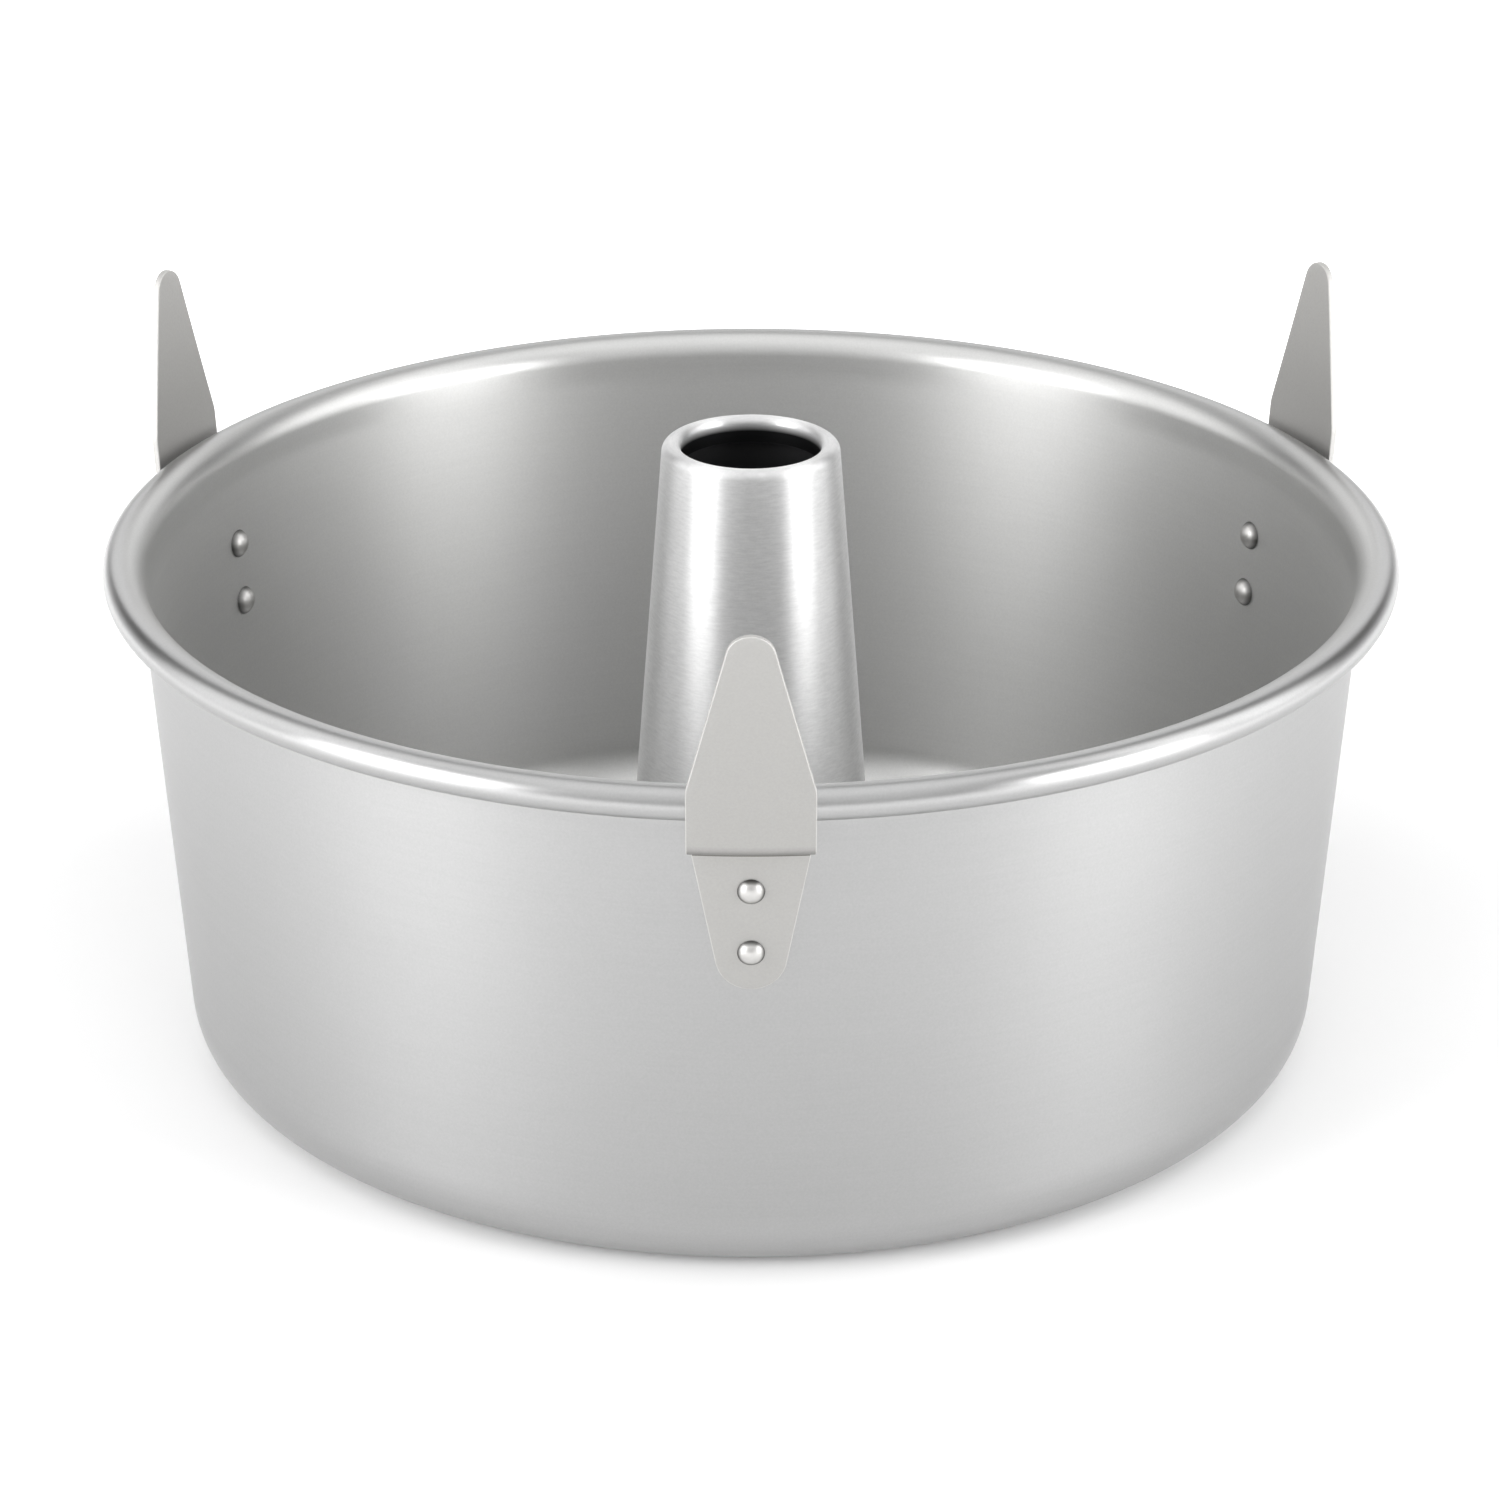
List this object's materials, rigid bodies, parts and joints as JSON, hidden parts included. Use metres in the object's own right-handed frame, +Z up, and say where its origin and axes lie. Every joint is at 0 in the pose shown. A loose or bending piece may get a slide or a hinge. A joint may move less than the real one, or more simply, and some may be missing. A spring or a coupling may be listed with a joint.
{
  "type": "angel food cake pan",
  "caption": "Round tube cake pan with a rolled rim, a lift-out base with a tapered centre tube, and riveted feet for cooling it upside down.",
  "frame": {"origin": "on the tube's axis, in the flat plane that the pan's ledge rests on", "axes": "+Z up along the tube, +Y towards the side with the two rear feet, -Y towards the single front foot"},
  "size_m": [0.27, 0.2851, 0.1483],
  "materials": {
    "shell_sheet": "satin spun",
    "base_sheet": "satin",
    "tube_sheet": "fine turned",
    "foot_sheet": "matt",
    "rivet_metal": "polished"
  },
  "bodies": {
    "shell": {"pan_shell": "shell_sheet", "foot_front": "foot_sheet", "foot_rear_right": "foot_sheet", "foot_rear_left": "foot_sheet", "rivet_front_upper": "rivet_metal", "rivet_front_lower": "rivet_metal", "rivet_rear_right_upper": "rivet_metal", "rivet_rear_right_lower": "rivet_metal", "rivet_rear_left_upper": "rivet_metal", "rivet_rear_left_lower": "rivet_metal"},
    "insert": {"base_disc": "base_sheet", "centre_tube": "tube_sheet"}
  },
  "joints": [
    {"name": "insert_lift", "type": "slide", "parent": "shell", "child": "insert", "axis": [0, 0, 1], "range_m": [0, 0.16]}
  ]
}
